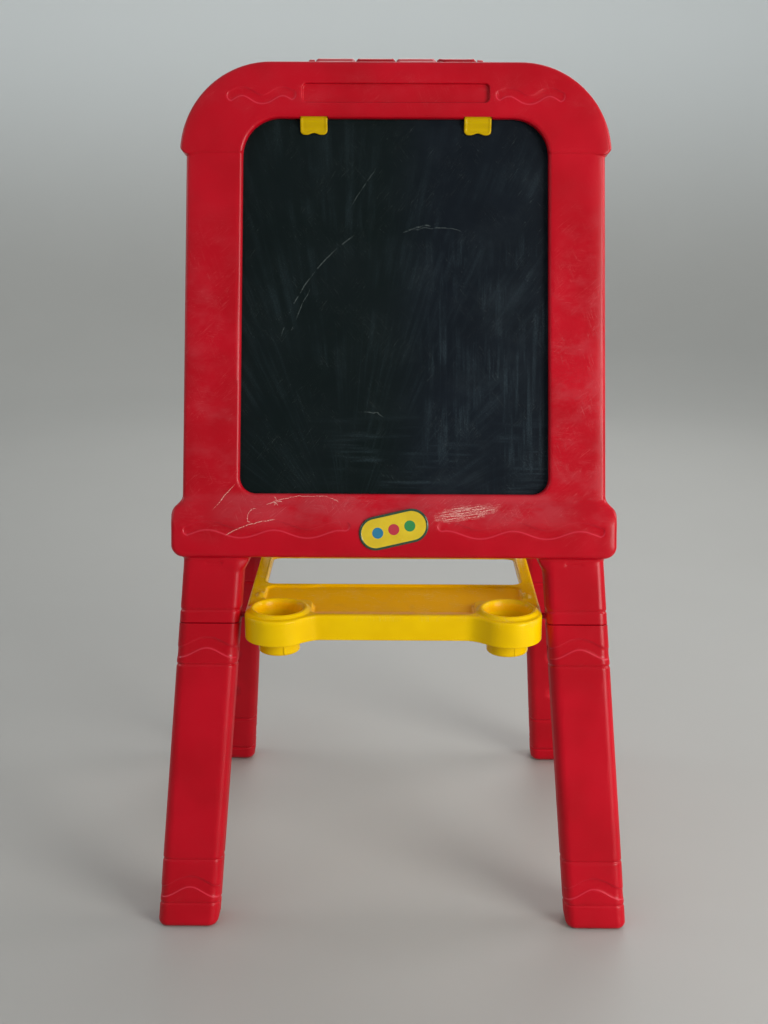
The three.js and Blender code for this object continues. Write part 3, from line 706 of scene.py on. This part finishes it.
def arc_stroke(u, v, centre, radius, facing, spread, width):
    """Part of a circle: what lies within an angle to each side of the direction that it faces."""
    du, dv = u - centre[0], v - centre[1]
    line = (du.distance(dv) - radius).away().ramp(width, width * 0.2)
    facing, spread = math.radians(facing), math.radians(spread)
    towards = du * math.cos(facing) + dv * math.sin(facing)
    return line * towards.ramp(radius * math.cos(spread), radius * math.cos(spread * 0.8))


def ribbon_sink_and_edge_highlight(u, v, start, end, centre, amplitude, period, peak, half):
    """For the ribbon that wave() describes: 1 inside it, and 1 along its edge, mostly the lower one, where a
    highlight is painted.
    """
    along = -((-u.most(start)).most(-end))
    turn = 2 * math.pi / period
    phase = (along - peak) * turn
    slope = phase.math("SINE") * (amplitude * turn)
    off = (v - centre + phase.math("COSINE") * amplitude) / slope.distance(1.0)
    reach = (u - along).distance(off)
    # The edge mask is a painted highlight, strongest on the lower edge, which faces up.
    edge = (reach - half + 0.4).away().ramp(1.5, 0.3) * (off.ramp(-3, 3) * 0.8 + 0.2)
    return reach.ramp(half + 0.2, half - 1.2), edge


def scribble(surface, u, v, centre, angle, reach, height):
    """A flat oval scrubbed with long chalk strokes that lie close together and cross a little."""
    along, across = turned(u - centre[0], v - centre[1], math.radians(angle))
    edge = surface.noise(along, across, 2.0, 9.0, detail=3.0) * 0.8 - 0.4
    inside = ((along / reach).distance(across / height) + edge).ramp(1.0, 0.55)
    strokes = None
    for lean, gap in ((0.02, 2.3), (-0.06, 3.1), (0.09, 3.9)):
        bent = across + along * lean + surface.noise(along / 20, across, lean * 40, 3.0) * 2.4
        stroke = ((bent * (2 * math.pi / gap)).math("SINE")).ramp(0.45, 0.9)
        strokes = stroke if strokes is None else strokes.most(stroke)
    return strokes * inside


# Chalk marks on the ledge: centre, radius, facing, spread and width of each curved stroke.
CHALK_CURLS = (
    ((-178, 579), 9, 180, 105, 0.7),
    ((-150, 700), 116, -108, 17, 0.9),
    ((-65, 683), 200, -140, 4.6, 0.9),
    ((-157, 571), 9, -80, 50, 0.8),
    ((-146, 569), 9, -110, 40, 0.8),
    ((-160, 560), 8, 0, 50, 0.8),
    ((-110, 680), 127, -92, 22, 0.5),
)


def red_plastic(name, chalked):
    """Moulded red plastic: faint flow marks, a painted highlight along the ribbons' edges, mostly the lower
    ones, faded scuffs and fine scratches.

    chalked is 1 where the chalk marks show, 0 where there are none.
    """
    red = Surface(name, IOR=1.45, Specular_IOR_Level=0.30)
    x, s = red.x, red.s
    flow = red.mottle(90.0, detail=2.0)
    colour = red.mix(flow.ramp(0.3, 0.7), (0.46, 0.0, 0.008), (0.55, 0.0005, 0.012))
    facing_out = red.d.ramp(36, 43)
    under_board = s.ramp(544, 556) * s.ramp(604, 572) * x.away().ramp(250, 200)
    round_board = (x.away() - 236).away().ramp(52, 20) * s.ramp(120, 330) * s.ramp(640, 560)
    in_header = s.ramp(75, 60) * s.ramp(8, 26)
    worn = under_board.most(round_board * 0.55).most(in_header * 0.25)
    cloud = red.noise(x, s * 1.6, 4.0, 46.0, detail=6.0, rough=0.68)
    scuff = (cloud.ramp(0.44, 0.74) * worn).most(under_board * cloud.ramp(0.30, 0.56) * 0.8) * facing_out
    scratch = scratches(red, x, s, 0.12, 1.6, 26.0)
    for angle, grain in ((1.2, 1.9), (-0.7, 2.3), (2.4, 1.7)):
        scratch = scratch.most(scratches(red, x, s, angle, grain, 30.0))
    scratch = scratch * (worn * 0.9 + 0.10) * facing_out
    wobble = red.mottle(13.0, detail=2.0) * 8.0 - 4.0
    u, v = x + wobble, s - wobble * 0.8
    chalk = scribble(red, x, s, (91, 574), -9, 47, 11)
    for curl in CHALK_CURLS:
        chalk = chalk.most(arc_stroke(u, v, *curl))
    grainy = red.mottle(1.2, detail=2.0).ramp(0.36, 0.60)
    chalk = chalk * grainy * facing_out * s.ramp(505, 520) * s.ramp(632, 622) * chalked
    across = x.away() - (s - LEG_TOP) * math.tan(SPLAY) - LEG_CENTRE_AT_TOP
    sunk, edges = ribbon_sink_and_edge_highlight(x.away(), s, *HEADER_RIBBON)
    for along, ribbon in ((x.away(), LEDGE_RIBBON), (across, LEG_RIBBONS[0]), (across, LEG_RIBBONS[1])):
        inside, edge = ribbon_sink_and_edge_highlight(along, s, *ribbon)
        sunk = sunk.most(inside)
        edges = edges.most(edge)
    # Painted highlight: the ribbons' edges, mostly the lower ones, are painted a paler red.
    colour = red.mix(edges * facing_out * 0.4, colour, (0.82, 0.05, 0.09))
    colour = red.mix(scuff * 0.30, colour, (0.50, 0.09, 0.11))
    colour = red.mix(scratch * 0.40, colour, (0.70, 0.18, 0.19))
    colour = red.mix(chalk * 0.75, colour, (0.86, 0.55, 0.47))
    roughness = flow * 0.08 + scuff * 0.26 + chalk * 0.4 + scratch * 0.2 + 0.27
    peel = red.mottle(2.6, detail=2.0)
    sag = red.mottle(55.0, detail=1.0)
    height = peel * 0.10 + sag * 1.6 - scratch * 0.22 - sunk * facing_out * 1.2
    return red.finish(colour, roughness + red.sideways().ramp(0.8, 0.97) * 0.3, height, 0.35)


def yellow_plastic():
    """Glossy yellow plastic: pinkish paint wear, stains and scratches on the tray's top, a brighter orange on
    the deck as painted light, and the clips darkened as painted shade.
    """
    yellow = Surface("yellow_plastic", IOR=1.45, Specular_IOR_Level=0.14)
    flow = yellow.mottle(60.0, detail=2.0)
    colour = yellow.mix(flow.ramp(0.3, 0.7), (0.88, 0.53, 0.0), (0.95, 0.60, 0.0005))
    top = yellow.z.ramp(TRAY_FLANGE - 4, TROUGH_FLOOR - 1) * yellow.z.ramp(500, 420)
    band = (yellow.y.away() - CUP_Y).away().ramp(12, 7) * yellow.x.away().ramp(112, 90)
    cloud = yellow.mottle(17.0, detail=6.0, rough=0.7).ramp(0.28, 0.58)
    stain = yellow.mottle(38.0, detail=5.0, rough=0.65).ramp(0.55, 0.75) * top
    # Painted light: the deck is painted a brighter, more orange yellow, standing in for light it gets from
    # around and through the plastic.
    deck = yellow.z.ramp(TRAY_TOP + 1, TRAY_TOP - 2) * yellow.z.ramp(TROUGH_FLOOR - 6, TROUGH_FLOOR - 1)
    colour = yellow.mix(deck * yellow.y.away().ramp(192, 184), colour, (1.0, 0.53, 0.0))
    # Painted shade: yellow from 200 mm above the tray's top upward, which is the clips, is painted darker for
    # the shade under the header's lip.
    colour = yellow.mix(yellow.z.ramp(TRAY_TOP + 200, TRAY_TOP + 400) * 0.75, colour, (0.50, 0.33, 0.001))
    colour = yellow.mix(cloud * band * top * 0.55, colour, (0.85, 0.34, 0.16))
    colour = yellow.mix(stain * 0.25, colour, (0.70, 0.33, 0.03))
    scratch = scratches(yellow, yellow.x, yellow.y, 0.3, 1.4, 24.0)
    scratch = scratch.most(scratches(yellow, yellow.x, yellow.y, -0.9, 1.7, 22.0)) * top
    colour = yellow.mix(scratch * 0.35, colour, (0.86, 0.70, 0.30))
    roughness = flow * 0.06 + scratch * 0.2 + band * cloud * 0.15 + 0.20
    height = yellow.mottle(2.4, detail=2.0) * 0.08 + yellow.mottle(48.0, detail=1.0) * 1.3 - scratch * 0.2
    return yellow.finish(colour, roughness, height, 0.35)


# Chalk strokes left on the board: centre, radius, facing, spread and width of each.
BOARD_STROKES = (
    ((76, 411), 230, -144, 21, 1.0),
    ((90, 409), 232, -156, 7, 0.8),
    ((207, 328), 300, -146, 4, 1.0),
    ((56, 314), 108, -104, 12, 1.2),
    ((50, 322), 112, -88, 16, 0.8),
    ((-40, 505), 60, -78, 14, 0.9),
)


def smears(surface, along, across, seed, grain):
    """Long soft streaks that run one way, patchy along their length."""
    streaks = surface.noise(along / 14, across, seed, grain, detail=4.0, rough=0.6).ramp(0.42, 0.72)
    return streaks * surface.noise(along, across, seed + 2.0, 70.0, detail=3.0).ramp(0.36, 0.60)


def chalkboard_black():
    """Painted chalkboard with wiped chalk haze, long smears and curved strokes."""
    black = Surface("chalkboard_black", IOR=1.45, Specular_IOR_Level=0.13)
    x, s = black.x, black.s
    tint = black.mottle(120.0, detail=2.0).ramp(0.3, 0.7)
    left = black.mix(tint, (0.0022, 0.0066, 0.0066), (0.0034, 0.0078, 0.0084))
    right = black.mix(tint, (0.0030, 0.0060, 0.0100), (0.0044, 0.0080, 0.0130))
    colour = black.mix(x.ramp(-30, 70), left, right)
    haze = black.noise(x, s, 1.0, 95.0, detail=7.0, rough=0.62).ramp(0.45, 0.80)
    haze = haze * (x.ramp(-120, 150) * 0.7 + 0.3)
    upright = smears(black, s, x, 3.0, 6.0) * x.ramp(20, 60) * s.ramp(205, 250)
    level = smears(black, x, s, 9.0, 6.5) * s.ramp(430, 500) * x.ramp(-140, -40)
    swept = smears(black, (x + 60).distance(s - 620), (s - 620).math("ARCTAN2", x + 60) * 300.0, 5.0, 7.0)
    lines = scratches(black, x, s, 2.2, 2.4, 20.0, 0.010).most(scratches(black, x, s, 0.9, 2.0, 18.0, 0.010))
    strokes = lines * 0.4
    wobble = black.mottle(14.0, detail=2.0) * 7.0 - 3.5
    broken = black.noise(x, s, 6.0, 11.0, detail=3.0).ramp(0.40, 0.55)
    for stroke in BOARD_STROKES:
        strokes = strokes.most(arc_stroke(x + wobble, s - wobble, *stroke) * broken)
    grainy = black.mottle(1.1, detail=2.0).ramp(0.38, 0.66) * 0.7 + 0.3
    smeared = (upright.most(level) * 0.8).most(swept * 0.35)
    colour = black.mix(haze * 0.035, colour, (0.20, 0.27, 0.30))
    colour = black.mix(smeared * grainy * 0.12, colour, (0.22, 0.34, 0.40))
    colour = black.mix(strokes * grainy * 0.24, colour, (0.36, 0.42, 0.40))
    roughness = haze * 0.12 + smeared * 0.15 + strokes * 0.1 + 0.46
    height = black.mottle(0.9, detail=2.0) * 0.16 + black.mottle(110.0, detail=1.0) * 1.2
    return black.finish(colour, roughness, height, 0.3)


def dry_wipe_white():
    """A glossy dry-wipe board with faint ghosts of wiped ink."""
    white = Surface("dry_wipe_white", IOR=1.5, Coat_Weight=0.5, Coat_Roughness=0.06)
    x, s = white.x, white.s
    base = white.mix(white.mottle(140.0, detail=2.0).ramp(0.3, 0.7), (0.82, 0.83, 0.81), (0.87, 0.87, 0.86))
    du, dv = x + 250, s - 520
    streak = white.noise(du.distance(dv), dv.math("ARCTAN2", du) * 40.0, 2.0, 8.0, detail=4.0)
    streak = streak.ramp(0.58, 0.75)
    ghost = streak * white.noise(x, s, 5.0, 90.0, detail=3.0).ramp(0.48, 0.66)
    hue = white.noise(x, s, 11.0, 130.0, detail=1.0).ramp(0.4, 0.6)
    ink = white.mix(hue, (0.45, 0.55, 0.75), (0.70, 0.50, 0.48))
    colour = white.mix(ghost * 0.30, base, ink)
    scratch = scratches(white, x, s, 0.6, 1.8, 24.0)
    roughness = ghost * 0.12 + scratch * 0.2 + 0.14
    height = white.mottle(90.0, detail=1.0) * 1.2 - scratch * 0.15
    return white.finish(colour, roughness, height, 0.3)


def zinc_steel():
    """Zinc-plated steel, slightly mottled, with a fine grain in its bump."""
    steel = Surface("zinc_steel", Metallic=1.0)
    mottle = steel.mottle(2.2, detail=5.0)
    colour = steel.mix(mottle.ramp(0.3, 0.7), (0.46, 0.47, 0.48), (0.66, 0.66, 0.64))
    fine = steel.mottle(0.4, detail=3.0)
    return steel.finish(colour, mottle * 0.2 + 0.22, fine, 0.03)


def badge_face():
    """The badge's yellow face with a green border and three plain round dots."""
    badge = Surface("badge_face", IOR=1.5, Coat_Weight=0.6, Coat_Roughness=0.08)
    u, v = along_badge(badge.x, badge.s)
    flow = badge.mottle(20.0, detail=3.0)
    colour = badge.mix(flow.ramp(0.3, 0.7), (0.72, 0.50, 0.01), (0.80, 0.57, 0.015))
    dots = ((-21, (0.02, 0.20, 0.34)), (0, (0.52, 0.03, 0.05)), (21, (0.03, 0.26, 0.07)))
    for at, paint in dots:
        dot = (u - at).distance(v).ramp(7.4, 6.9)
        colour = badge.mix(dot, colour, paint)
    edge = (u.away() - BADGE_HALF + BADGE_RADIUS).most(0.0).distance(v)
    edge = edge.ramp(BADGE_RADIUS - 3.4, BADGE_RADIUS - 2.7)
    colour = badge.mix(edge, colour, (0.02, 0.06, 0.03))
    wear = badge.mottle(5.0, detail=5.0, rough=0.7)
    colour = badge.mix(wear.ramp(0.62, 0.8) * 0.35, colour, (0.70, 0.62, 0.45))
    return badge.finish(colour, wear * 0.15 + 0.16, wear, 0.06)


# Pieces.
def build_sides(materials):
    """Both sides' mouldings, legs and clips. The rear side is the front one turned half round."""
    red, yellow = materials["red_plastic"], materials["yellow_plastic"]
    faces = {"front": materials["chalked_red"], "rear": red}
    frame_mesh = field_mesh("frame", frame_field, (-290, -14, -2), (290, 796, 62), 1.25, SIDE)
    right_leg = field_mesh("right_leg", leg_field, (192, 714, -2), (312, 1130, 54), 1.1, SIDE)
    left_leg = mirrored(right_leg, "left_leg")
    clip = {}
    for name, sign in (("right", 1), ("left", -1)):
        shift = SIDE @ Matrix.Translation((sign * CLIP_AT, 0, 0))
        clip[name] = field_mesh(f"{name}_clip", clip_field, (-22, 64, 33), (22, 98, 48), 0.4, shift)
    for side, turn in (("front", Matrix.Identity(4)), ("rear", TURNED)):
        body = f"{side}_side"
        put(f"{side}_moulding", frame_mesh, faces[side], body, [f"{side}_frame"], turn)
        for hand in ("left", "right"):
            meant = hand if side == "front" else {"left": "right", "right": "left"}[hand]
            leg = right_leg if meant == "right" else left_leg
            put(f"{side}_{hand}_leg_sleeve", leg, red, body,
                [f"{side}_{hand}_lower_leg"], turn)
            put(f"{side}_{hand}_spring_clip", clip[meant], yellow,
                f"{side}_{hand}_clip", [f"{side}_{hand}_paper_clip"], turn)


def build_screws(materials):
    """The screws: one mesh for the boards' and one for the legs', each set where its CAD node is."""
    board = field_mesh("board_screw", screw_field(*BOARD_SCREW), (-4, -4, -3), (4, 4, 12), 0.3, UPRIGHT)
    leg = field_mesh("leg_screw", screw_field(*LEG_SCREW), (-5, -5, -3.2), (5, 5, 12.6), 0.35, UPRIGHT)
    for name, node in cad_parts.items():
        if "screw" not in name:
            continue
        side = name.split("_")[0]
        if "board" in name:
            mesh, sizes = board, BOARD_SCREW
            outward = -1 if side == "front" else 1
            rough_axis = Vector((0, outward * math.cos(LEAN), math.sin(LEAN)))
        else:
            mesh, sizes = leg, LEG_SCREW
            hand = 1 if "right" in name else -1
            rough_axis = Vector((hand * math.cos(SPLAY), 0, 0))
        _, height, _, length = sizes
        axis = screw_axis(node, rough_axis)
        low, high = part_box(name)
        seat = (low + high) / 2 - axis * ((length - height) / 2 * MM)
        turn = axis.to_track_quat("Z", "Y").to_matrix().to_4x4()
        put(f"{name}_detailed", mesh, materials["zinc_steel"], f"{side}_side", [name],
            Matrix.Translation(seat) @ turn)


def screw_axis(node, towards):
    """The direction a CAD screw points in: its longest direction, on the side of a rough guess."""
    points = np.array([v.co for v in node.data.vertices])
    _, _, directions = np.linalg.svd(points - points.mean(0))
    axis = Vector(directions[0])
    return axis if axis.dot(towards) > 0 else -axis


def build_hinge(materials):
    """The pin, and the caps on its ends."""
    pin = field_mesh("pin", bar_field(PIN_RADIUS, PIN_HALF, 0.8), (-112, -4, -4), (112, 4, 4), 0.7, SIDE)
    put("hinge_rod", pin, materials["zinc_steel"], "front_side", ["hinge_pin"])
    right = field_mesh("cap", cap_field, (103, -11, -11), (117, 11, 11), 0.5, SIDE)
    red = materials["red_plastic"]
    for hand, cap in (("right", right), ("left", mirrored(right, "left_cap"))):
        put(f"hinge_button_{hand}", cap, red, "front_side", [f"hinge_cap_{hand}"])


def build_tray(materials):
    mesh = field_mesh("tray", tray_field, (-195, -229, 347), (195, 229, 410), 1.25, UPRIGHT)
    put("tray_moulding", mesh, materials["yellow_plastic"], "tray", ["tray"])


def build_badge(materials):
    mesh = field_mesh("badge", badge_field, (-46, 567, 57), (46, 623, 62), 0.5, SIDE)
    put("badge_plate", mesh, materials["badge_face"], "front_side", ["badge"])


def paint_boards(materials):
    """Gives the boards, which stay the CAD's own meshes, their detailed materials."""
    for node, name in (("chalkboard", "chalkboard_black"), ("dry_wipe_board", "dry_wipe_white")):
        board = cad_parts[node]
        board.data.materials.clear()
        board.data.materials.append(materials[name])


# The studio.
def backdrop():
    """A pale plain floor that curves up into a round wall, with a faint mottle."""
    flat, bend, wall, sides, steps = 3.2, 2.4, 6.0, 96, 16
    turns = [math.pi / 2 * i / steps for i in range(steps + 1)]
    profile = [(flat + bend * math.sin(a), bend - bend * math.cos(a)) for a in turns] + [(flat + bend, wall)]
    points, faces = [(0, 0, 0)], []
    for radius, height in profile:
        for i in range(sides):
            angle = 2 * math.pi * i / sides
            points.append((radius * math.cos(angle), radius * math.sin(angle), height))
    for i in range(sides):
        after = (i + 1) % sides
        faces.append((0, 1 + i, 1 + after))
        for row in range(len(profile) - 1):
            low, high = 1 + row * sides, 1 + (row + 1) * sides
            faces.append((low + i, high + i, high + after, low + after))
    mesh = bpy.data.meshes.new("backdrop")
    mesh.from_pydata(points, [], faces)
    mesh.shade_smooth()
    sweep = added("backdrop", mesh)
    pale = Surface("pale_floor", Specular_IOR_Level=0.3)
    cloud = pale.mottle(400.0, detail=4.0)
    high = pale.z.ramp(150, 1500)
    colour = pale.mix(high, pale.mix(cloud, (0.42, 0.41, 0.385), (0.45, 0.44, 0.415)), (0.72, 0.74, 0.73))
    mesh.materials.append(pale.finish(colour, cloud * 0.1 + 0.45, cloud, 0.05))


def area_light(name, place, size, power, colour=(1, 1, 1), aim=(0, 0, 0.6)):
    """A round lamp, size metres across, that shines from its place towards its aim."""
    lamp = bpy.data.lights.new(name, "AREA")
    lamp.shape, lamp.size, lamp.energy, lamp.color = "DISK", size, power, colour
    holder = added(name, lamp)
    holder.location = place
    holder.rotation_euler = (Vector(aim) - Vector(place)).to_track_quat("-Z", "Y").to_euler()


def lights():
    """Soft studio light, strongest from a window's place at the front right."""
    area_light("window", (2.3, -2.2, 1.2), 1.7, 76, (1, 0.99, 0.97))
    area_light("fill", (-2.2, -1.8, 2.4), 2.4, 5, (0.95, 0.98, 1))
    area_light("right_edge", (2.3, 0.3, 1.4), 1.2, 16, (0.97, 0.98, 1))
    area_light("left_edge", (-2.3, 0.3, 1.4), 1.2, 8, (0.95, 0.98, 1))
    area_light("back", (0.6, 2.4, 2.3), 2.4, 26)
    area_light("wall", (0, 2.6, 3.4), 2.0, 26, (0.94, 0.99, 1), (0, 5.4, 1.6))
    world = bpy.data.worlds.new("studio")
    world.use_nodes = True
    world.node_tree.nodes["Background"].inputs["Color"].default_value = (0.90, 0.95, 1.0, 1)
    world.node_tree.nodes["Background"].inputs["Strength"].default_value = 0.5
    bpy.context.scene.world = world
    bpy.context.scene.view_settings.view_transform = "Standard"


def camera():
    """The photo's camera, from a perspective fit: at the chalkboard side, looking down a little."""
    lens = bpy.data.cameras.new("camera")
    lens.lens, lens.sensor_width = CAMERA_LENS, CAMERA_SENSOR
    holder = added("camera", lens)
    holder.location = CAMERA_PLACE
    pan = Matrix.Rotation(math.radians(CAMERA_PAN), 4, "Z")
    tilt = Matrix.Rotation(math.radians(90 - CAMERA_DOWN), 4, "X")
    roll = Matrix.Rotation(math.radians(CAMERA_ROLL), 4, "Z")
    holder.rotation_euler = (pan @ tilt @ roll).to_euler()
    bpy.context.scene.camera = holder


def main():
    camera()
    backdrop()
    lights()
    materials = {
        "chalked_red": red_plastic("chalked_red", 1.0), "red_plastic": red_plastic("red_plastic", 0.0),
        "yellow_plastic": yellow_plastic(), "chalkboard_black": chalkboard_black(),
        "dry_wipe_white": dry_wipe_white(), "zinc_steel": zinc_steel(), "badge_face": badge_face(),
    }
    build_sides(materials)
    build_tray(materials)
    build_badge(materials)
    build_hinge(materials)
    build_screws(materials)
    paint_boards(materials)


main()
